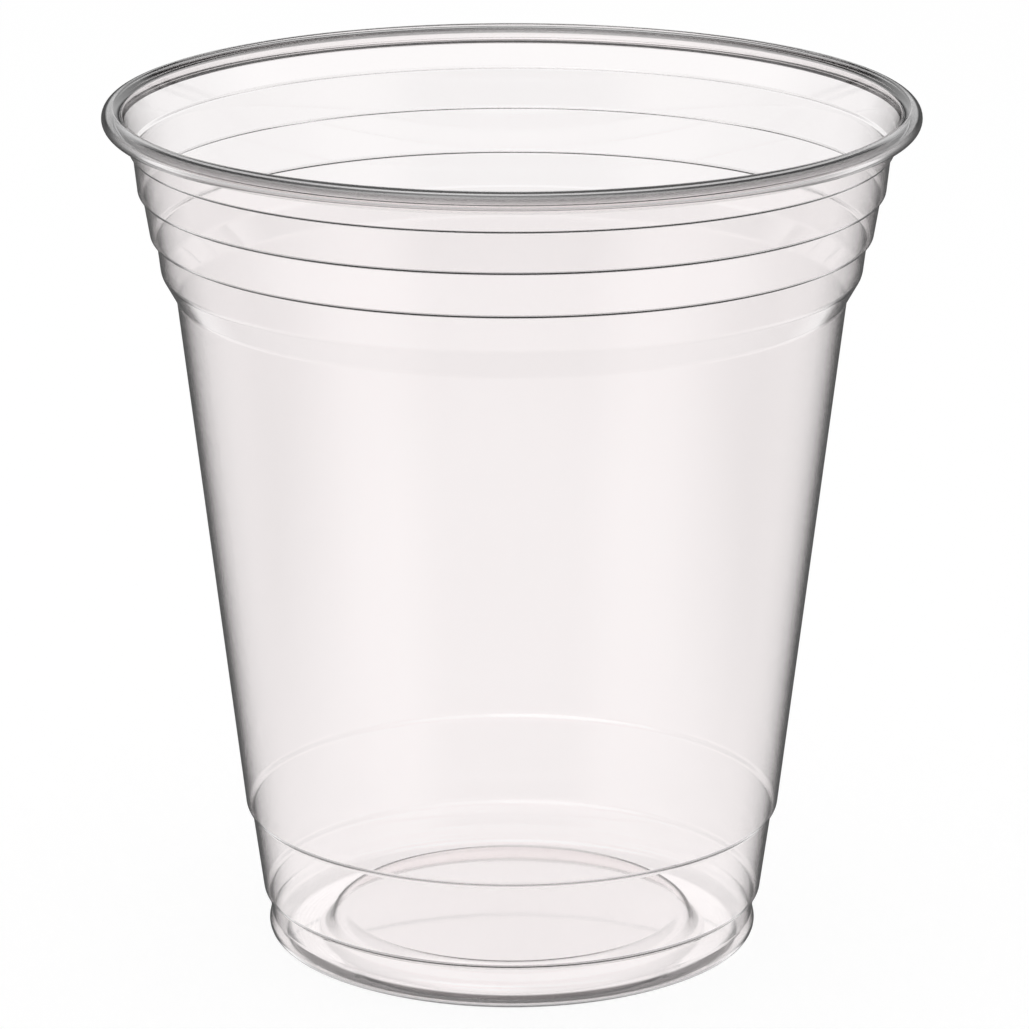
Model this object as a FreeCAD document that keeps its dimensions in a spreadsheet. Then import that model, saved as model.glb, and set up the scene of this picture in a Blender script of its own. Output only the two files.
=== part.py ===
import FreeCAD, Part

import math
import os

import Sketcher

# Disposable cold-drink cup, thermoformed from one clear plastic sheet.
# The sheet is drawn into a tapered mould, so floor, foot, wall and neck are one
# skin of even thickness, and its free edge is then rolled outward into the rim.
# Z is the cup's axis and the table is at Z = 0. All sizes are in millimetres.

# The sheet and the rolled rim
sheet_thickness = 0.28
rim_diameter = 98
cup_height = 104.7
roll_diameter = 2.6
roll_gap = 0.36

# The floor and the foot it stands on
foot_diameter = 60.7
foot_lift = 0.92
foot_corner = 1.3
heel_width = 2.55
heel_bend = 2
ring_width = 5.1
slope_width = 1
floor_rise = 3
floor_bend = 1.5

# The groove over the foot and the wall up to the band
groove_depth = 0.55
groove_height = 2.08
groove_bend = 1
foot_wall_taper = 0.25
foot_wall_height = 2.7

# The short tapered band over its own small step
band_step = 0.65
band_rise = 0.38
band_bend = 0.45
band_taper = 1.45
band_height = 10.62

# The ledge under the main wall
ledge_step = 0.63
ledge_rise = 0.47
ledge_bend = 0.45

# The shoulder between the main wall and the stacking bands
shoulder_step = 1.8
shoulder_rise = 3.2
shoulder_bend = 1.4

# Three stacking bands, each under its ledge, counted upward
band_a_taper = 0.52
band_a_height = 4.23
step_a = 0.7
band_b_taper = 0.86
band_b_height = 5.2
step_b = 0.55
band_c_taper = 0.53
band_c_height = 4.8
step_c = 0.4
stack_rise = 0.2
stack_bend = 0.18

# The neck under the roll
neck_inset = 3.24
neck_height = 5.27

# The same sizes as the cells of a spreadsheet, with what each one sets

SIZES = (
    ("sheet_thickness", sheet_thickness, "drawn sheet, even all over"),
    ("rim_diameter", rim_diameter, "outside of the rolled rim, the lid size"),
    ("cup_height", cup_height, "table to the top of the rim"),
    ("roll_diameter", roll_diameter, "outside of the roll's own section"),
    ("roll_gap", roll_gap, "from the neck to the cut edge of the roll"),
    ("foot_diameter", foot_diameter, "outside of the foot, to its sharp corner"),
    ("foot_lift", foot_lift, "that corner above the table"),
    ("foot_corner", foot_corner, "outside radius of that corner"),
    ("heel_width", heel_width, "rising heel between standing ring and foot"),
    ("heel_bend", heel_bend, "tight side of the bend from standing ring to heel"),
    ("ring_width", ring_width, "flat ring on which the cup stands"),
    ("slope_width", slope_width, "steep slope between standing ring and raised floor"),
    ("floor_rise", floor_rise, "underside of the raised floor above the table"),
    ("floor_bend", floor_bend, "tight side of the bends around the floor"),
    ("groove_depth", groove_depth, "bottom of the groove inside the foot"),
    ("groove_height", groove_height, "bottom of the groove over the foot's corner"),
    ("groove_bend", groove_bend, "tight side of the groove's bend"),
    ("foot_wall_taper", foot_wall_taper, "how far the wall over the groove widens"),
    ("foot_wall_height", foot_wall_height, "height of the wall over the groove"),
    ("band_step", band_step, "how far the band stands out over that wall"),
    ("band_rise", band_rise, "height of the step to the band"),
    ("band_bend", band_bend, "tight side of that step's bends"),
    ("band_taper", band_taper, "how far the band widens on its way up"),
    ("band_height", band_height, "height of the band"),
    ("ledge_step", ledge_step, "how far the ledge stands out"),
    ("ledge_rise", ledge_rise, "height of the ledge"),
    ("ledge_bend", ledge_bend, "tight side of the ledge's bends"),
    ("shoulder_step", shoulder_step, "how far the shoulder stands out"),
    ("shoulder_rise", shoulder_rise, "height of the shoulder"),
    ("shoulder_bend", shoulder_bend, "tight side of the shoulder's bends"),
    ("band_a_taper", band_a_taper, "how far the first stacking band widens"),
    ("band_a_height", band_a_height, "height of the first stacking band"),
    ("step_a", step_a, "how far the first stacking ledge stands out"),
    ("band_b_taper", band_b_taper, "how far the second stacking band widens"),
    ("band_b_height", band_b_height, "height of the second stacking band"),
    ("step_b", step_b, "how far the second stacking ledge stands out"),
    ("band_c_taper", band_c_taper, "how far the third stacking band widens"),
    ("band_c_height", band_c_height, "height of the third stacking band"),
    ("step_c", step_c, "how far the third stacking ledge stands out"),
    ("stack_rise", stack_rise, "fall of each stacking ledge toward the axis"),
    ("stack_bend", stack_bend, "tight side of the stacking ledges' bends"),
    ("neck_inset", neck_inset, "foot of the neck inside the outside of the rim"),
    ("neck_height", neck_height, "foot of the neck under the top of the rim"),
)

# The outside of the drawn sheet, as corners from the middle of the floor up to
# the neck, each with its distance from the axis and its height. The foot sets the
# lower ones, and the rim sets the upper ones, so the main wall takes up the rest.

CORNERS = (
    ("middle", "0", "floor_rise"),
    ("floor_edge", "ring_inner_across - slope_width", "floor_rise"),
    ("ring_inner", "heel_across - ring_width", "0"),
    ("heel", "foot_across - heel_width", "0"),
    ("foot", "foot_diameter / 2", "foot_lift"),
    ("groove", "foot_across - groove_depth", "foot_up + groove_height"),
    ("foot_wall", "groove_across + foot_wall_taper", "groove_up + foot_wall_height"),
    ("band_foot", "foot_wall_across + band_step", "foot_wall_up + band_rise"),
    ("ledge", "band_foot_across + band_taper", "band_foot_up + band_height"),
    ("wall_foot", "ledge_across + ledge_step", "ledge_up + ledge_rise"),
    ("wall_top", "stack_foot_across - shoulder_step", "stack_foot_up - shoulder_rise"),
    ("stack_foot", "under_a_across - band_a_taper", "under_a_up - band_a_height"),
    ("under_a", "over_a_across - step_a", "over_a_up - stack_rise"),
    ("over_a", "under_b_across - band_b_taper", "under_b_up - band_b_height"),
    ("under_b", "over_b_across - step_b", "over_b_up - stack_rise"),
    ("over_b", "under_c_across - band_c_taper", "under_c_up - band_c_height"),
    ("under_c", "over_c_across - step_c", "over_c_up - stack_rise"),
    ("over_c", "rim_diameter / 2 - neck_inset", "cup_height - neck_height"),
)

# What follows from the sizes. A bend takes no more than its own wall has room for:
# at the foot a half of the wall up to the groove, at the ledges a half of the ledge.

DERIVED = (
    ("roll_radius", "roll_diameter / 2"),
    ("roll_across", "rim_diameter / 2 - roll_radius"),
    ("roll_up", "cup_height - roll_radius"),
    ("foot_corner_fit", "min(foot_corner; (foot_lift + groove_height) / 2)"),
    ("stack_bend_fit", "min(stack_bend; step_c / 2)"),
)

os.makedirs("parts", exist_ok=True)
doc = FreeCAD.newDocument("disposable_cup")
sheet = doc.addObject("Spreadsheet::Sheet", "Sizes")
sheet.Label = "Sizes"
rows = [(alias, f"{value:g}", note) for alias, value, note in SIZES]
for name, across, up in CORNERS:
    rows.append((name + "_across", "=" + across, "corner of the section, from the axis"))
    rows.append((name + "_up", "=" + up, "corner of the section, above the table"))
for alias, formula in DERIVED:
    rows.append((alias, "=" + formula, "follows from the sizes"))
for row, (alias, _, _) in enumerate(rows, 1):
    sheet.setAlias(f"B{row}", alias)
for row, (alias, content, note) in enumerate(rows, 1):
    sheet.set(f"A{row}", alias)
    sheet.set(f"B{row}", content)
    sheet.set(f"C{row}", note)
doc.recompute()


def value_of(alias):
    """What a cell of the sheet comes to."""
    return float(sheet.get(alias))


def vec(x, y):
    return FreeCAD.Vector(x, y, 0)


outer = [vec(value_of(name + "_across"), value_of(name + "_up")) for name, _, _ in CORNERS]
roll_radius = value_of("roll_radius")
roll_inside = roll_radius - sheet_thickness
roll_centre = vec(value_of("roll_across"), value_of("roll_up"))


def tangent_point(start, centre, radius):
    """Where a line from start touches the circle on the side that faces the axis."""
    reach = centre - start
    spread = math.asin(radius / reach.Length)
    turn = math.atan2(reach.y, reach.x) + spread
    along = math.sqrt(reach.Length ** 2 - radius ** 2)
    return start + vec(math.cos(turn), math.sin(turn)) * along


def left_of(a, b):
    """Unit vector square to the way from a to b, toward the inside of the cup."""
    way = (b - a).normalize()
    return vec(-way.y, way.x)


def mitre(a, b, c, gap):
    """The corner at b moved inward so that both sides keep the gap."""
    n1 = left_of(a, b)
    n2 = left_of(b, c)
    half = n1 + n2
    return b + half * (2 * gap / half.Length ** 2)


neck_top = tangent_point(outer[-1], roll_centre, roll_inside)
path = outer + [neck_top]
inner = [path[0] + vec(0, sheet_thickness)]
for i in range(1, len(outer)):
    inner.append(mitre(path[i - 1], path[i], path[i + 1], sheet_thickness))
inner_top = neck_top + left_of(path[-2], path[-1]) * sheet_thickness

# The closed section of the formed sheet

body = doc.addObject("PartDesign::Body", "Cup")
body.Label = "cup"
body.Placement = FreeCAD.Placement(FreeCAD.Vector(0, 0, 0), FreeCAD.Rotation())
sketch = body.newObject("Sketcher::SketchObject", "WallSection")
sketch.Label = "Section of the formed sheet"
upright = [f for f in body.Origin.OriginFeatures if f.Role == "XZ_Plane"][0]
sketch.AttachmentSupport = [(upright, "")]
sketch.MapMode = "FlatFace"

skin = []
for a, b in zip(path, path[1:]):
    skin.append(sketch.addGeometry(Part.LineSegment(a, b), False))
lining = []
for a, b in zip(inner, inner[1:] + [inner_top]):
    lining.append(sketch.addGeometry(Part.LineSegment(a, b), False))
middle = sketch.addGeometry(Part.LineSegment(path[0], inner[0]), False)


def angle_of(point):
    """Direction of a point as seen from the centre of the roll."""
    out = point - roll_centre
    return math.atan2(out.y, out.x)


# The roll goes over the top and round until its cut edge is one gap short of the neck
cut_angle = angle_of(neck_top) + math.acos((roll_inside - roll_gap) / roll_radius) - 2 * math.pi


def roll_arc(radius, touch):
    """One side of the rolled edge, from its cut end round to where the neck meets it."""
    circle = Part.Circle(roll_centre, FreeCAD.Vector(0, 0, 1), radius)
    return Part.ArcOfCircle(circle, cut_angle, angle_of(touch))


roll_back = sketch.addGeometry(roll_arc(roll_inside, neck_top), False)
roll_face = sketch.addGeometry(roll_arc(roll_radius, inner_top), False)
cut_way = vec(math.cos(cut_angle), math.sin(cut_angle))
cut_edge = sketch.addGeometry(
    Part.LineSegment(roll_centre + cut_way * roll_inside, roll_centre + cut_way * roll_radius), False
)


def hold(kind, *parts):
    return sketch.addConstraint(Sketcher.Constraint(kind, *parts))


def measure(name, expression, kind, *parts):
    """A named dimension of the section that follows the sheet."""
    number = hold(kind, *parts)
    sketch.renameConstraint(number, name)
    sketch.setExpression("Constraints." + name, expression)


for chain in (skin, lining):
    for a, b in zip(chain, chain[1:]):
        hold("Coincident", a, 2, b, 1)
hold("Coincident", skin[0], 1, middle, 1)
hold("Coincident", lining[0], 1, middle, 2)
hold("PointOnObject", skin[0], 1, -2)
hold("PointOnObject", lining[0], 1, -2)

# Outside corners, each set from the axis and from the table. The floor and the
# standing ring are level, the standing ring is on the table itself.
hold("Horizontal", skin[0])
for i, (name, _, up) in enumerate(CORNERS):
    if i > 0:
        measure(name + "_across", f"Sizes.{name}_across", "DistanceX", -1, 1, skin[i], 1, outer[i].x)
    if up == "0":
        hold("PointOnObject", skin[i], 1, -1)
    elif i != 1:
        measure(name + "_up", f"Sizes.{name}_up", "DistanceY", -1, 1, skin[i], 1, outer[i].y)

# The inside keeps one sheet thickness from the outside
for i, (out, inn) in enumerate(zip(skin, lining)):
    hold("Parallel", out, inn)
    if i < len(skin) - 1:
        measure(f"sheet_{i}", "Sizes.sheet_thickness", "Distance", inn, 1, out, sheet_thickness)

# The roll: both sides share one centre, the neck runs into them smoothly
hold("Coincident", roll_back, 3, roll_face, 3)
measure("roll_across", "Sizes.roll_across", "DistanceX", -1, 1, roll_face, 3, roll_centre.x)
measure("roll_up", "Sizes.roll_up", "DistanceY", -1, 1, roll_face, 3, roll_centre.y)
measure("roll_face_radius", "Sizes.roll_radius", "Radius", roll_face, roll_radius)
measure("roll_back_radius", "Sizes.roll_radius - Sizes.sheet_thickness", "Radius", roll_back, roll_inside)
hold("Tangent", skin[-1], 2, roll_back, 2)
hold("Tangent", lining[-1], 2, roll_face, 2)
hold("Coincident", cut_edge, 1, roll_back, 1)
hold("Coincident", cut_edge, 2, roll_face, 1)
hold("PointOnObject", roll_face, 3, cut_edge)
measure("roll_gap", "Sizes.roll_gap", "Distance", cut_edge, 2, skin[-1], roll_gap)
doc.recompute()
print("section: loose freedoms", sketch.solve(), "fully set", sketch.FullyConstrained)

# The drawn sheet, turned once around the cup's axis

formed = body.newObject("PartDesign::Revolution", "FormedSheet")
formed.Label = "Formed sheet"
formed.Profile = sketch
formed.ReferenceAxis = (sketch, ["V_Axis"])
formed.Angle = 360
sketch.Visibility = False
doc.recompute()


def rings_at(shape, corners):
    """Names of the round edges of the shape that pass through the given corners of the section."""
    names = []
    for number, edge in enumerate(shape.Edges, 1):
        if not isinstance(edge.Curve, Part.Circle):
            continue
        at = vec(edge.Curve.Radius, edge.Curve.Center.z)
        if min((at - corner).Length for corner in corners) < 0.01:
            names.append(f"Edge{number}")
    return names


def bend(name, label, base, corners, radius):
    """Rounds the sheet along some of its corner rings."""
    found = rings_at(base.Shape, corners)
    if len(found) != len(corners):
        raise ValueError(f"{label}: {len(found)} rings for {len(corners)} corners")
    rounded = body.newObject("PartDesign::Fillet", name)
    rounded.Label = label
    rounded.Base = (base, found)
    rounded.setExpression("Radius", radius)
    doc.recompute()
    return rounded


# A bend is tight on the side toward which the sheet turns, and wider by the
# sheet's thickness on the other. Corners that turn outward, up the cup, are
# tight on the outside, the others on the inside.

BENDS = (
    ("FootCorner", "Foot corner", ("foot",), (), "Sizes.foot_corner_fit - Sizes.sheet_thickness"),
    ("HeelBend", "Bend of the heel", ("heel",), (), "Sizes.heel_bend"),
    ("FloorBend", "Bends around the floor", ("ring_inner",), ("floor_edge",), "Sizes.floor_bend"),
    ("GrooveBend", "Bend of the groove", (), ("groove",), "Sizes.groove_bend"),
    ("BandBend", "Bends under the band", ("band_foot",), ("foot_wall",), "Sizes.band_bend"),
    ("LedgeBend", "Bends of the lower ledge", ("wall_foot",), ("ledge",), "Sizes.ledge_bend"),
    ("ShoulderBend", "Bends of the shoulder", ("stack_foot",), ("wall_top",), "Sizes.shoulder_bend"),
    ("StackBend", "Bends of the stacking ledges", ("over_a", "over_b", "over_c"),
     ("under_a", "under_b", "under_c"), "Sizes.stack_bend_fit"),
)
place = {name: number for number, (name, _, _) in enumerate(CORNERS)}
tip = formed
for name, label, inward, outward, radius in BENDS:
    tight = [inner[place[i]] for i in inward] + [outer[place[i]] for i in outward]
    wide = [outer[place[i]] for i in inward] + [inner[place[i]] for i in outward]
    tip = bend(name + "Tight", label + ", tight side", tip, tight, radius)
    tip = bend(name + "Wide", label + ", wide side", tip, wide, radius + " + Sizes.sheet_thickness")
body.Tip = tip
doc.recompute()

# The checks and the file that goes out

for item in doc.Objects:
    if "Invalid" in item.State or "Error" in item.State:
        raise ValueError(f"{item.Label}: {item.State}")
    shape = getattr(item, "Shape", None)
    if shape is not None and item.TypeId.startswith("PartDesign::") and not shape.isNull():
        if not shape.isValid():
            raise ValueError(f"{item.Label}: shape not valid")
if body.Shape.isNull() or len(body.Shape.Solids) != 1:
    raise ValueError("the cup isn't one solid")

box = body.Shape.optimalBoundingBox()
print(f"cup: {box.XLength:.2f} x {box.YLength:.2f} x {box.ZLength:.2f} mm, from Z {box.ZMin:.3f}")
print(f"cup: {body.Shape.Volume:.0f} mm3 of sheet")
body.Shape.exportStep(f"parts/{body.Label}.step")
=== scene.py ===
# %% [markdown]
# # A clear disposable cup
#
# This lesson dresses one thermoformed cup of clear PET. The imported CAD model is
# the frame: it gives the size and the place.
# Blender works in metres, so sizes are written in millimetres and turned once.

# %% Load the frame
import math

import bmesh
import bpy
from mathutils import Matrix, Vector


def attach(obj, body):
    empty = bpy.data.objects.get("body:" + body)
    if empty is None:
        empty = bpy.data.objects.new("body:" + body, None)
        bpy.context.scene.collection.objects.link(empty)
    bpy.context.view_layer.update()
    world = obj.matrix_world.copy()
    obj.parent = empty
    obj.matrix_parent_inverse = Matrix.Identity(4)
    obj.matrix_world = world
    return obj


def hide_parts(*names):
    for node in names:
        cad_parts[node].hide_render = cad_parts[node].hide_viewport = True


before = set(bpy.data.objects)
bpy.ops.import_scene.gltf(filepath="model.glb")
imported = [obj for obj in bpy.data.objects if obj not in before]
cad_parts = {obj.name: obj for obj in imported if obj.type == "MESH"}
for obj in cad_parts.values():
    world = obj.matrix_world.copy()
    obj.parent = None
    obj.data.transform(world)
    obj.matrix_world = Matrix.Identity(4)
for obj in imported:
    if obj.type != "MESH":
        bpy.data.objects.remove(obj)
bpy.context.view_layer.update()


def mm(length):
    """Millimetres as Blender's metres."""
    return length / 1000.0


# %% [markdown]
# ## Camera
#
# The camera comes first, because every later choice is judged through it. The
# rings of the cup are ellipses that get rounder toward the foot, and how fast
# they do says how far off the camera stood: about 0.7 m, a little over 16 degrees
# above level, with a long lens. Its values were fitted together with the section.

# %% Place the camera
PHOTO_SIZE = 1029
FOCAL_PIXELS = 5740
CAMERA_DISTANCE = mm(700)
CAMERA_RISE = math.radians(16.19)
LOOK_AT = Vector((0, 0, mm(53.36)))
AXIS_PIXEL = 511.9
SENSOR_WIDTH = 36

lens = bpy.data.cameras.new("camera")
lens.sensor_width = SENSOR_WIDTH
lens.lens = FOCAL_PIXELS / PHOTO_SIZE * lens.sensor_width
lens.shift_x = (PHOTO_SIZE / 2 - AXIS_PIXEL) / PHOTO_SIZE
camera = bpy.data.objects.new("camera", lens)
bpy.context.scene.collection.objects.link(camera)
toward_camera = Vector((0, -math.cos(CAMERA_RISE), math.sin(CAMERA_RISE)))
camera.location = LOOK_AT + toward_camera * CAMERA_DISTANCE
camera.rotation_euler = (-toward_camera).to_track_quat("-Z", "Y").to_euler()
bpy.context.scene.camera = camera
print("lens", round(lens.lens, 1), "mm")

# %% [markdown]
# ## Colours and nodes
#
# Colours are written as the hex codes that a colour picker shows, and one
# function turns them to the linear light that shaders add up. A second function
# adds one node with its settings and links, so that each material below reads
# like a list of what it is made of.

# %% Two small helpers


def linear(hex_code, alpha=1.0):
    """An sRGB hex colour as linear red, green, blue and alpha."""
    parts = [int(hex_code[i:i + 2], 16) / 255 for i in (1, 3, 5)]
    light = [c / 12.92 if c <= 0.04045 else ((c + 0.055) / 1.055) ** 2.4 for c in parts]
    return (*light, alpha)


def add_node(tree, kind, inputs=None, **settings):
    """One node: its inputs take a link or a value, its settings are its properties."""
    node = tree.nodes.new(kind)
    for name, value in settings.items():
        setattr(node, name, value)
    for name, value in (inputs or {}).items():
        if isinstance(value, bpy.types.NodeSocket):
            tree.links.new(value, node.inputs[name])
        else:
            node.inputs[name].default_value = value
    return node


def new_material(name):
    """An empty node material, and its tree."""
    material = bpy.data.materials.new(name)
    material.use_nodes = True
    material.node_tree.nodes.clear()
    return material, material.node_tree



# %% [markdown]
# ## The section of the sheet
#
# The real cup is one flat sheet, heated, drawn into a mould and then rolled at
# its edge. Its section is a single line with bends. So the outside of the sheet
# is drawn as a chain of corners, each extruded from the last, and each corner is
# then rounded with a vertex bevel. Drawing the line once keeps both faces of the
# wall parallel, because the thickness comes later from one modifier.

# %% Sizes of the section, in millimetres
SHEET = 0.28
ROLL_SHEET = 0.7
RIM_DIAMETER = 98
CUP_HEIGHT = 104.7
ROLL_DIAMETER = 2.6
ROLL_GAP = 0.36
ROLL_STEPS = 32
BEND_STEPS = 6
# Two places closer than this are taken for one
SAME_PLACE = 0.01

FLOOR_BEND = 1.5
HEEL_BEND = 2
FOOT_CORNER = 1.3
GROOVE_BEND = 1
BAND_BEND = 0.45
LEDGE_BEND = 0.45
SHOULDER_BEND = 1.4
STACK_BEND = 0.18


def wide(tight):
    """The outside radius of a bend whose tight side is inside the cup."""
    return tight + SHEET


# Each corner: its name, distance from the axis, height, and outside radius
SECTION = [
    ("floor middle", 0, 3, 0),
    ("floor edge", 21.7, 3, FLOOR_BEND),
    ("standing ring, inner", 22.7, 0, wide(FLOOR_BEND)),
    ("heel", 27.8, 0, wide(HEEL_BEND)),
    ("foot", 30.35, 0.92, FOOT_CORNER),
    ("groove", 29.8, 3, GROOVE_BEND),
    ("foot wall", 30.05, 5.7, BAND_BEND),
    ("band foot", 30.7, 6.08, wide(BAND_BEND)),
    ("ledge, lower", 32.15, 16.7, LEDGE_BEND),
    ("ledge, upper", 32.78, 17.17, wide(LEDGE_BEND)),
    ("shoulder, lower", 40.4, 81.4, SHOULDER_BEND),
    ("shoulder, upper", 42.2, 84.6, wide(SHOULDER_BEND)),
    ("first stacking ledge, lower", 42.72, 88.83, STACK_BEND),
    ("first stacking ledge, upper", 43.42, 89.03, wide(STACK_BEND)),
    ("second stacking ledge, lower", 44.28, 94.23, STACK_BEND),
    ("second stacking ledge, upper", 44.83, 94.43, wide(STACK_BEND)),
    ("third stacking ledge, lower", 45.36, 99.23, STACK_BEND),
    ("third stacking ledge, upper", 45.76, 99.43, wide(STACK_BEND)),
]

roll_radius = ROLL_DIAMETER / 2
roll_centre = Vector((RIM_DIAMETER / 2 - roll_radius, 0, CUP_HEIGHT - roll_radius))
roll_inside = roll_radius - SHEET
print(len(SECTION), "corners, roll centre", [round(c, 3) for c in roll_centre])

# %% [markdown]
# ## Draw the chain
#
# The chain starts as one vertex: a plane whose corners are merged into its
# middle. Every corner is an extrude from the corner before. The neck ends where
# a straight line just touches the roll, which a little trigonometry gives.

# %% Extrude the corners


def editing(piece):
    """The open edit mesh of a piece."""
    return bmesh.from_edit_mesh(piece.data)


def pick(piece, wanted):
    """Selects the vertices that wanted(place in millimetres) accepts, and no others."""
    bpy.ops.mesh.select_mode(type="VERT")
    bpy.ops.mesh.select_all(action="DESELECT")
    mesh = editing(piece)
    for vertex in mesh.verts:
        vertex.select_set(bool(wanted(vertex.co * 1000)))
    mesh.select_flush_mode()
    bmesh.update_edit_mesh(piece.data)
    return sum(v.select for v in mesh.verts)


def touching_point(start, centre, radius):
    """Where a line from start just touches the roll, on the side toward the axis."""
    reach = centre - start
    turn = math.atan2(reach.z, reach.x) + math.asin(radius / reach.length)
    along = math.sqrt(reach.length ** 2 - radius ** 2)
    return start + Vector((math.cos(turn), 0, math.sin(turn))) * along


corners = [Vector((r, 0, z)) for _, r, z, _ in SECTION]
neck_top = touching_point(corners[-1], roll_centre, roll_inside)

bpy.ops.object.select_all(action="DESELECT")
bpy.ops.mesh.primitive_plane_add(size=mm(1), location=corners[0] / 1000)
cup = bpy.context.object
cup.name = "clear_cup"
bpy.ops.object.transform_apply(location=True, rotation=True, scale=True)
bpy.ops.object.mode_set(mode="EDIT")
bpy.ops.mesh.merge(type="CENTER")
for here, there in zip(corners, corners[1:] + [neck_top]):
    bpy.ops.mesh.extrude_region_move(TRANSFORM_OT_translate={"value": (there - here) / 1000})
print(len(editing(cup).verts), "vertices in the chain")

# %% [markdown]
# ## Roll the rim
#
# On the real cup the free edge is curled outward until it nearly meets the neck
# again. The spin tool does the same to the last vertex of the chain: it is swung
# round the roll's centre, over the top and down the outside. The photograph shows
# the rim darker than a thin sheet renders, so the roll's sheet is drawn thicker
# than the wall's. How thick it really is isn't known: 0.7 mm was chosen.
# It is added on the hollow side, because the outside is the lid size.

# %% Spin the last vertex round the roll
pick(cup, lambda place: (place - neck_top).length < SAME_PLACE)
roll_turn = math.tau - math.acos((roll_inside - ROLL_GAP) / roll_radius)
bpy.ops.mesh.spin(steps=ROLL_STEPS, angle=-roll_turn, center=roll_centre / 1000, axis=(0, 1, 0))
# Degrees of the roll after which its sheet has its full thickness
FULL_AFTER = 70
roll_start = math.atan2(neck_top.z - roll_centre.z, neck_top.x - roll_centre.x)


def eased(share):
    """Turns an even way from 0 to 1 into one that starts and ends softly."""
    share = min(1.0, max(0.0, share))
    return share * share * (3 - 2 * share)


def roll_thickness(place):
    """Sheet of the roll: thin where it leaves the neck, full before the top."""
    here = math.atan2(place.z - roll_centre.z, place.x - roll_centre.x)
    swung = math.degrees((roll_start - here + 0.01) % math.tau)
    return SHEET + (ROLL_SHEET - SHEET) * eased(swung / FULL_AFTER)


for vertex in editing(cup).verts:
    place = vertex.co * 1000
    out = place - roll_centre
    if abs(out.length - roll_inside) < SAME_PLACE:
        hollow_side = roll_radius - roll_thickness(place)
        vertex.co = (roll_centre + out.normalized() * hollow_side) / 1000
bmesh.update_edit_mesh(cup.data)
rolled = max(v.co.x for v in editing(cup).verts) * 1000
print("outermost point of the skin", round(rolled, 3), "mm from the axis")

# %% [markdown]
# ## Round the bends
#
# A vertex bevel cuts a corner back by a distance along both of its sides. For a
# bend of radius R between sides that turn by an angle, that distance is
# R times the tangent of half the angle. Each corner gets its own radius, because
# a bend that is tight on the outside is wide on the inside.

# %% Bevel every corner


def cut_back(before, at, after, radius):
    """How far from a corner its round starts."""
    turn = (at - before).angle(after - at)
    return radius * math.tan(turn / 2)


chain = corners + [neck_top]
for number, (_, _, _, radius) in enumerate(SECTION):
    if radius == 0:
        continue
    corner = chain[number]
    pick(cup, lambda place: (place - corner).length < SAME_PLACE)
    back = cut_back(chain[number - 1], corner, chain[number + 1], radius)
    bpy.ops.mesh.bevel(affect="VERTICES", offset=mm(back), segments=BEND_STEPS)
print(len(editing(cup).verts), "vertices in the rounded chain")

# %% [markdown]
# ## Turn the section
#
# A second spin carries the whole chain once round the cup's axis. The first and
# last copies meet, so doubles are merged. The normals are made consistent before
# the sheet gets its thickness: the outermost faces are those of the roll, so they
# decide, and everywhere else the normals then point to the inside of the cup.

# %% Spin the chain round the axis
AROUND = 192
MERGE_WITHIN = mm(0.004)
bpy.ops.mesh.select_all(action="SELECT")
bpy.ops.mesh.spin(steps=AROUND, angle=math.tau, center=(0, 0, 0), axis=(0, 0, 1))
bpy.ops.mesh.select_all(action="SELECT")
bpy.ops.mesh.remove_doubles(threshold=MERGE_WITHIN)
bpy.ops.mesh.normals_make_consistent(inside=False)
bpy.ops.object.mode_set(mode="OBJECT")
print(len(cup.data.vertices), "vertices,", len(cup.data.polygons), "faces in one skin")

# %% [markdown]
# ## Give the sheet its thickness
#
# Solidify adds the inner face one sheet thickness away, square to the outer one,
# which is what an evenly drawn sheet has. A vertex group tells it where the sheet
# is thicker, which is only in the roll. Weighted normals then keep the long
# straight walls truly straight in reflections, with all the turning left to the
# bends.

# %% Solidify, then weight the normals
middle_face = min(cup.data.polygons, key=lambda face: face.center.x ** 2 + face.center.y ** 2)
print("the floor's normal points", "down" if middle_face.normal.z < 0 else "up")


def finish_with(piece, kind, **settings):
    """Adds a modifier, sets it and applies it."""
    modifier = piece.modifiers.new(kind.lower(), kind)
    for name, value in settings.items():
        setattr(modifier, name, value)
    bpy.context.view_layer.objects.active = piece
    bpy.ops.object.modifier_apply(modifier=modifier.name)


thick_sheet = cup.vertex_groups.new(name="thick_sheet")
for vertex in cup.data.vertices:
    place = vertex.co * 1000
    section = Vector((place.xy.length, 0, place.z))
    if (section - roll_centre).length < roll_inside - 0.001:
        share = (roll_thickness(section) - SHEET) / (ROLL_SHEET - SHEET)
        thick_sheet.add([vertex.index], share, "REPLACE")
finish_with(
    cup, "SOLIDIFY", thickness=mm(ROLL_SHEET), offset=1, use_even_offset=True,
    vertex_group=thick_sheet.name, thickness_vertex_group=SHEET / ROLL_SHEET,
)
bpy.ops.object.select_all(action="DESELECT")
cup.select_set(True)
bpy.context.view_layer.objects.active = cup
bpy.ops.object.shade_smooth()
finish_with(cup, "WEIGHTED_NORMAL", mode="FACE_AREA", weight=50, keep_sharp=False)
triangles = sum(len(face.vertices) - 2 for face in cup.data.polygons)
print(triangles, "triangles in the cup")
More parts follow.
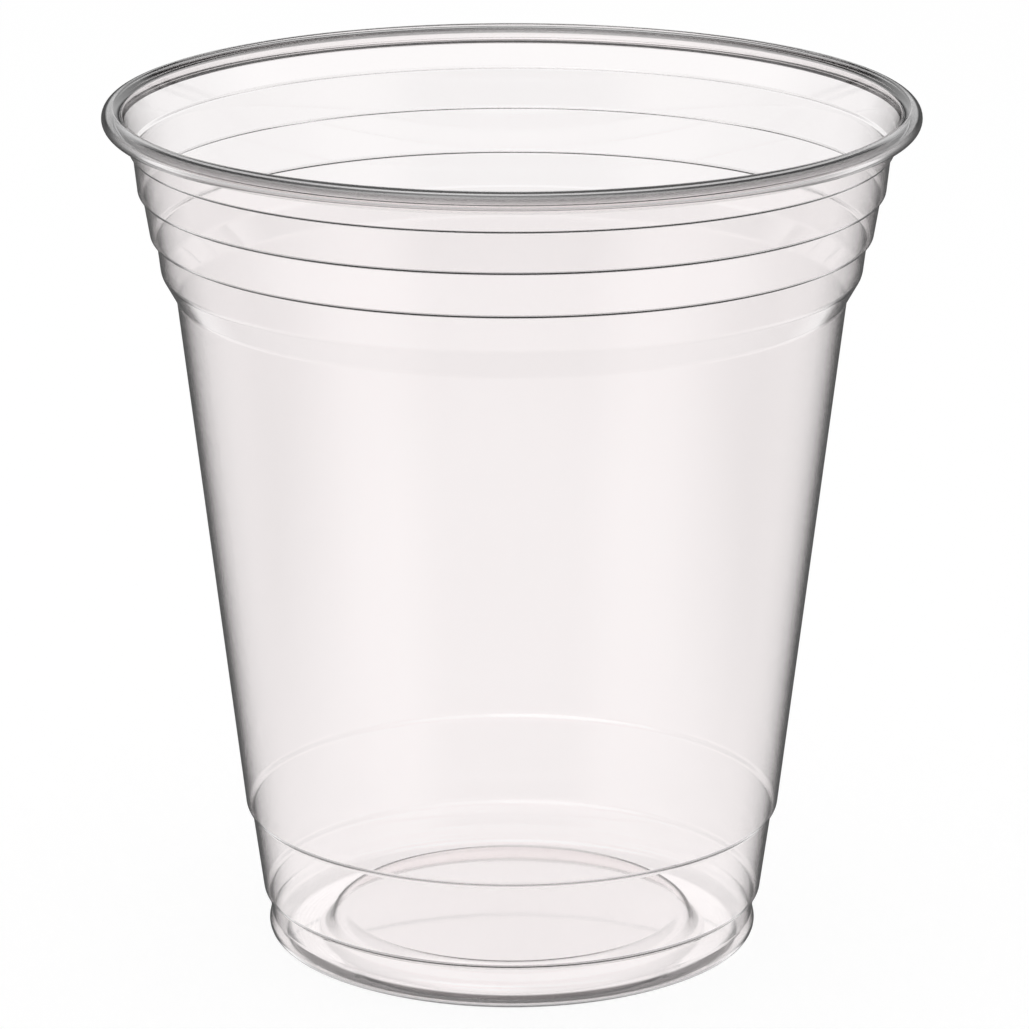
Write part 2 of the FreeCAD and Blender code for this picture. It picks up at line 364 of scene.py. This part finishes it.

# %% [markdown]
# ## Clear PET
# The grey of the crown is painted shade: it stands in for the dark that the roll mirrors and bends in.
#
# PET is a clear polyester. Drawn over a polished mould it comes out glossy on
# both faces, with an index of refraction near 1.575 and hardly any colour. What
# the eye reads is its edges: nearly invisible face on, dark or bright where it is
# seen edge on. Drawing leaves it a little uneven, so its clearness, its gloss and
# its surface all wander slowly along the wall, by given amounts. The crown
# of the roll is tinted grey. That is no property of the plastic: the photograph
# shows the rim darker than clear sheet renders, and the tint makes up the rest.
# Lamps shine through a thin sheet, so shadow rays meet a plain see-through shader.

# %% Make the plastic
CLEAR = "#FFFCFC"
CLEAR_THINNER = "#FDFAFA"
# Grey of the painted shade on the crown of the roll
CROWN_PAINTED_SHADE = "#A8A8A8"
PET_IOR = 1.575
PET_GLOSS = 0.02
PET_GLOSS_WORN = 0.05
WAVE_LENGTH = mm(9)
WAVE_STRETCH = 0.35
WAVE_HEIGHT = mm(0.02)
WAVE_STRENGTH = 0.25
WAVE_TROUGH = 0.35
WAVE_CREST = 0.75
CLOUD_WAVES = 4
SHADE_OF_SHEET = "#F2F4F4"

clear_pet, tree = new_material("clear_drawn_PET_sheet")
place = add_node(tree, "ShaderNodeTexCoord")
along = add_node(tree, "ShaderNodeMapping", {
    "Vector": place.outputs["Object"], "Scale": (1, 1, WAVE_STRETCH),
})
# Slow waves in the surface, longer down the wall than round it
waves = add_node(tree, "ShaderNodeTexNoise", {
    "Vector": along.outputs["Vector"], "Scale": 1 / WAVE_LENGTH, "Detail": 1,
})
ripple = add_node(tree, "ShaderNodeBump", {
    "Height": waves.outputs["Fac"], "Strength": WAVE_STRENGTH, "Distance": WAVE_HEIGHT,
})
# Gloss: it wanders with the same waves
gloss = add_node(tree, "ShaderNodeMapRange", {
    "Value": waves.outputs["Fac"], "From Min": WAVE_TROUGH, "From Max": WAVE_CREST,
    "To Min": PET_GLOSS, "To Max": PET_GLOSS_WORN,
})
# Clearness: broad clouds, four waves wide
clouds = add_node(tree, "ShaderNodeTexNoise", {
    "Vector": along.outputs["Vector"], "Scale": 1 / (CLOUD_WAVES * WAVE_LENGTH),
})
clearness = add_node(tree, "ShaderNodeMix", {
    0: clouds.outputs["Fac"], 6: linear(CLEAR), 7: linear(CLEAR_THINNER),
}, data_type="RGBA")

# %% [markdown]
# The crown's painted shade is found by its place on the section: over the middle of the roll's
# own section and outside it. Both ways fade over 0.7 mm, as a bend does.

# %% Paint shade on the crown of the roll
CROWN_FADE = mm(0.7)
crown_height = mm(roll_centre.z) - CROWN_FADE * 0.4
crown_across = mm(roll_centre.x) - CROWN_FADE * 0.7
axes = add_node(tree, "ShaderNodeSeparateXYZ", {"Vector": place.outputs["Object"]})
level = add_node(tree, "ShaderNodeCombineXYZ", {"X": axes.outputs["X"], "Y": axes.outputs["Y"]})
across = add_node(tree, "ShaderNodeVectorMath", {0: level.outputs["Vector"]}, operation="LENGTH")
over = add_node(tree, "ShaderNodeMapRange", {
    "Value": axes.outputs["Z"], "From Min": crown_height, "From Max": crown_height + CROWN_FADE,
}, interpolation_type="SMOOTHSTEP")
beyond = add_node(tree, "ShaderNodeMapRange", {
    "Value": across.outputs["Value"], "From Min": crown_across, "From Max": crown_across + CROWN_FADE,
}, interpolation_type="SMOOTHSTEP")
painted_crown_shade = add_node(tree, "ShaderNodeMath", {
    0: over.outputs["Result"], 1: beyond.outputs["Result"],
}, operation="MULTIPLY")
colour = add_node(tree, "ShaderNodeMix", {
    0: painted_crown_shade.outputs["Value"], 6: clearness.outputs[2], 7: linear(CROWN_PAINTED_SHADE),
}, data_type="RGBA")
plastic = add_node(tree, "ShaderNodeBsdfPrincipled", {
    "Base Color": colour.outputs[2], "Roughness": gloss.outputs["Result"], "Normal": ripple.outputs["Normal"],
    "Metallic": 0, "IOR": PET_IOR, "Transmission Weight": 1,
})
passing = add_node(tree, "ShaderNodeBsdfTransparent", {"Color": linear(SHADE_OF_SHEET)})
ray = add_node(tree, "ShaderNodeLightPath")
either = add_node(tree, "ShaderNodeMixShader", {
    0: ray.outputs["Is Shadow Ray"], 1: plastic.outputs["BSDF"], 2: passing.outputs["BSDF"],
})
add_node(tree, "ShaderNodeOutputMaterial", {"Surface": either.outputs["Shader"]})
cup.data.materials.clear()
cup.data.materials.append(clear_pet)
print("material", clear_pet.name)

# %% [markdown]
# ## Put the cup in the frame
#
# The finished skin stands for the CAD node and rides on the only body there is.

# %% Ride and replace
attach(cup, "root")
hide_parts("cup")

# %% [markdown]
# ## Floor and backdrop
#
# The cup stands on a pale floor in front of a white surround. The white comes
# from light path tricks and not from more light: rays that come straight from
# the camera, or straight through the plastic, see white. Rays that the plastic
# has mirrored on their way see the studio instead, so the floor lets them by.
# The floor keeps a part that takes light, and with it the cup's faint shadow.

# %% Lay the floor
FLOOR_LIT = 0.30
FLOOR_GLOW = 0.825
FLOOR_RADIUS = 2.5
FLOOR_CORNERS = 96


def straight_rays(tree):
    """Two values: 1 for rays that see the white backdrop, and 1 for mirrored rays."""
    ray = add_node(tree, "ShaderNodeLightPath")
    seen = add_node(tree, "ShaderNodeMath", {
        0: ray.outputs["Is Camera Ray"], 1: ray.outputs["Is Transmission Ray"],
    }, operation="MAXIMUM")
    mirrored = add_node(tree, "ShaderNodeMath", {
        0: ray.outputs["Glossy Depth"], 1: 0.5,
    }, operation="GREATER_THAN")
    return seen.outputs["Value"], mirrored.outputs["Value"]


bpy.ops.object.select_all(action="DESELECT")
bpy.ops.mesh.primitive_circle_add(vertices=FLOOR_CORNERS, radius=FLOOR_RADIUS, fill_type="NGON")
floor = bpy.context.object
floor.name = "studio_floor"
pale_floor, tree = new_material("matt_white_floor")

# %% [markdown]
# The photograph has a dark band along the front of the foot. The thin sheet and
# this lighting don't give it, so it is painted on the floor and not cast by the
# cup: a narrow crescent, fixed at the front of the standing ring. It is what is
# inside the ring, less the same ring moved back by the crescent's width.

# %% Shade the floor under the standing ring
RING_OUTSIDE = mm(28.2)
CRESCENT_WIDTH = mm(3.3)
CRESCENT_SOFT = mm(0.8)
CRESCENT_EDGE = mm(0.3)
CRESCENT_DEPTH = 0.88
ground = add_node(tree, "ShaderNodeTexCoord").outputs["Object"]
from_axis = add_node(tree, "ShaderNodeVectorMath", {0: ground}, operation="LENGTH")
moved = add_node(tree, "ShaderNodeVectorMath", {0: ground, 1: (0, CRESCENT_WIDTH, 0)}, operation="SUBTRACT")
from_behind = add_node(tree, "ShaderNodeVectorMath", {0: moved.outputs["Vector"]}, operation="LENGTH")
inside = add_node(tree, "ShaderNodeMapRange", {
    "Value": from_axis.outputs["Value"], "From Min": RING_OUTSIDE, "From Max": RING_OUTSIDE - CRESCENT_EDGE,
}, interpolation_type="SMOOTHSTEP")
outside = add_node(tree, "ShaderNodeMapRange", {
    "Value": from_behind.outputs["Value"], "From Min": RING_OUTSIDE - CRESCENT_SOFT, "From Max": RING_OUTSIDE,
}, interpolation_type="SMOOTHSTEP")
crescent = add_node(tree, "ShaderNodeMath", {
    0: inside.outputs["Result"], 1: outside.outputs["Result"],
}, operation="MULTIPLY")
light_left = add_node(tree, "ShaderNodeMath", {
    0: crescent.outputs["Value"], 1: -CRESCENT_DEPTH, 2: 1.0,
}, operation="MULTIPLY_ADD")

# %% Mix the floor's shaders
seen, mirrored = straight_rays(tree)
lit = add_node(tree, "ShaderNodeMath", {0: light_left.outputs["Value"], 1: FLOOR_LIT}, operation="MULTIPLY")
matt = add_node(tree, "ShaderNodeBsdfDiffuse", {"Color": lit.outputs["Value"]})
glowing = add_node(tree, "ShaderNodeMath", {0: light_left.outputs["Value"], 1: seen}, operation="MULTIPLY")
glow = add_node(tree, "ShaderNodeEmission", {
    "Strength": glowing.outputs["Value"], "Color": (FLOOR_GLOW, FLOOR_GLOW, FLOOR_GLOW, 1),
})
both = add_node(tree, "ShaderNodeAddShader", {0: matt.outputs["BSDF"], 1: glow.outputs["Emission"]})
gone = add_node(tree, "ShaderNodeBsdfTransparent")
either = add_node(tree, "ShaderNodeMixShader", {
    0: mirrored, 1: both.outputs["Shader"], 2: gone.outputs["BSDF"],
})
add_node(tree, "ShaderNodeOutputMaterial", {"Surface": either.outputs["Shader"]})
floor.data.materials.append(pale_floor)
print("floor", floor.name)

# %% [markdown]
# ## Dark cards and light walls
#
# Photographers draw the edges of clear things with dark cards: at a grazing
# angle the sheet mirrors what stands a little beside the way straight on, and
# where that is dark, the edge is dark. So the mirrored studio has a band of
# walls whose tone changes round the compass: dark in front of the cup and
# behind it, light grey on the diagonals, middle grey at the sides. Over the walls
# comes a white strip, then a dark card that only the roll of the rim mirrors,
# and what lies far below the table is grey. Where each band starts, and its tone,
# were set against the photograph. How it was really lit isn't known.

# %% Surround the scene
world = bpy.data.worlds.new("studio")
bpy.context.scene.world = world
world.use_nodes = True
# The studio's bands are broad, so its light is found without a map of its
# brightest places. That is quicker.
world.cycles.sampling_method = "NONE"
tree = world.node_tree
tree.nodes.clear()

# Tones of the walls, by how far sideways the ray goes: 0 straight on, 1 square to it
WALL_TONES = ((0, 0.12), (0.44, 0.12), (0.545, 0.28), (0.62, 0.46), (0.73, 0.63), (0.88, 0.60), (1, 0.35))
# How much of the walls shows, and the tone where they don't, by the height that the
# ray rises: 0 straight down, 0.5 level, 1 straight up
WALLS_SHOW = ((0, 0), (0.26, 0), (0.29, 1), (0.53, 1), (0.57, 0), (1, 0))
REST_TONES = (
    (0, 0.6), (0.19, 0.6), (0.235, 1), (0.56, 1), (0.60, 0.92), (0.69, 0.92),
    (0.73, 0.12), (0.92, 0.12), (0.97, 1), (1, 1),
)


def set_stops(ramp, stops):
    """Gives a colour ramp its greys, each a place from 0 to 1 and a tone."""
    for spot, _ in stops[1:-1]:
        ramp.elements.new(spot)
    for element, (spot, tone) in zip(ramp.elements, stops):
        element.position = spot
        element.color = (tone, tone, tone, 1)


way = add_node(tree, "ShaderNodeTexCoord").outputs["Generated"]
axes = add_node(tree, "ShaderNodeSeparateXYZ", {"Vector": way})
plan = add_node(tree, "ShaderNodeCombineXYZ", {"X": axes.outputs["X"], "Y": axes.outputs["Y"]})
plan_way = add_node(tree, "ShaderNodeVectorMath", {0: plan.outputs["Vector"]}, operation="NORMALIZE")
plan_axes = add_node(tree, "ShaderNodeSeparateXYZ", {"Vector": plan_way.outputs["Vector"]})
sideways = add_node(tree, "ShaderNodeMath", {0: plan_axes.outputs["X"]}, operation="ABSOLUTE")
rising = add_node(tree, "ShaderNodeMath", {0: axes.outputs["Z"], 1: 0.5, 2: 0.5}, operation="MULTIPLY_ADD")
walls = add_node(tree, "ShaderNodeValToRGB", {"Fac": sideways.outputs["Value"]})
set_stops(walls.color_ramp, WALL_TONES)
show = add_node(tree, "ShaderNodeValToRGB", {"Fac": rising.outputs["Value"]})
set_stops(show.color_ramp, WALLS_SHOW)
rest = add_node(tree, "ShaderNodeValToRGB", {"Fac": rising.outputs["Value"]})
set_stops(rest.color_ramp, REST_TONES)
studio = add_node(tree, "ShaderNodeMix", {
    0: show.outputs["Color"], 6: rest.outputs["Color"], 7: walls.outputs["Color"],
}, data_type="RGBA")

# %% [markdown]
# Rays that carry light to the cup see an even half white, so the surround never
# adds more than a plain level. Straight rays see full white, mirrored rays the
# studio.

# %% Mix the air
PLAIN_LEVEL = 0.5
seen, mirrored = straight_rays(tree)
open_air = add_node(tree, "ShaderNodeMath", {
    0: seen, 1: 1 - PLAIN_LEVEL, 2: PLAIN_LEVEL,
}, operation="MULTIPLY_ADD")
tone = add_node(tree, "ShaderNodeMix", {
    0: mirrored, 6: open_air.outputs["Value"], 7: studio.outputs[2],
}, data_type="RGBA")
air = add_node(tree, "ShaderNodeBackground", {"Color": tone.outputs[2], "Strength": 1})
add_node(tree, "ShaderNodeOutputWorld", {"Surface": air.outputs["Background"]})
print("world", world.name)

# %% [markdown]
# ## Light
#
# One soft box hangs overhead. It gives the floor its faint shadow and the rim
# its soft highlights.

# %% Hang the soft box
TOP_BOX_PLACE = (-0.3, -0.1, 1.3)
TOP_BOX_WIDTH = 1.0
TOP_BOX_DEPTH = 0.8
TOP_BOX_LEVEL = 0.8


def soft_box(name, place, width, height, level):
    """A rectangular lamp that faces the cup, as bright as its level says."""
    lamp = bpy.data.lights.new(name, "AREA")
    lamp.shape = "RECTANGLE"
    lamp.size = width
    lamp.size_y = height
    lamp.energy = level * math.pi * width * height
    box = bpy.data.objects.new(name, lamp)
    bpy.context.scene.collection.objects.link(box)
    box.location = place
    box.rotation_euler = (LOOK_AT - Vector(place)).to_track_quat("-Z", "Y").to_euler()
    return box


soft_box("top_box", TOP_BOX_PLACE, TOP_BOX_WIDTH, TOP_BOX_DEPTH, TOP_BOX_LEVEL)

# %% [markdown]
# ## Finish
#
# The view transform is the plain one, so that colours come out as written.

# %% Finish
bpy.context.scene.view_settings.view_transform = "Standard"
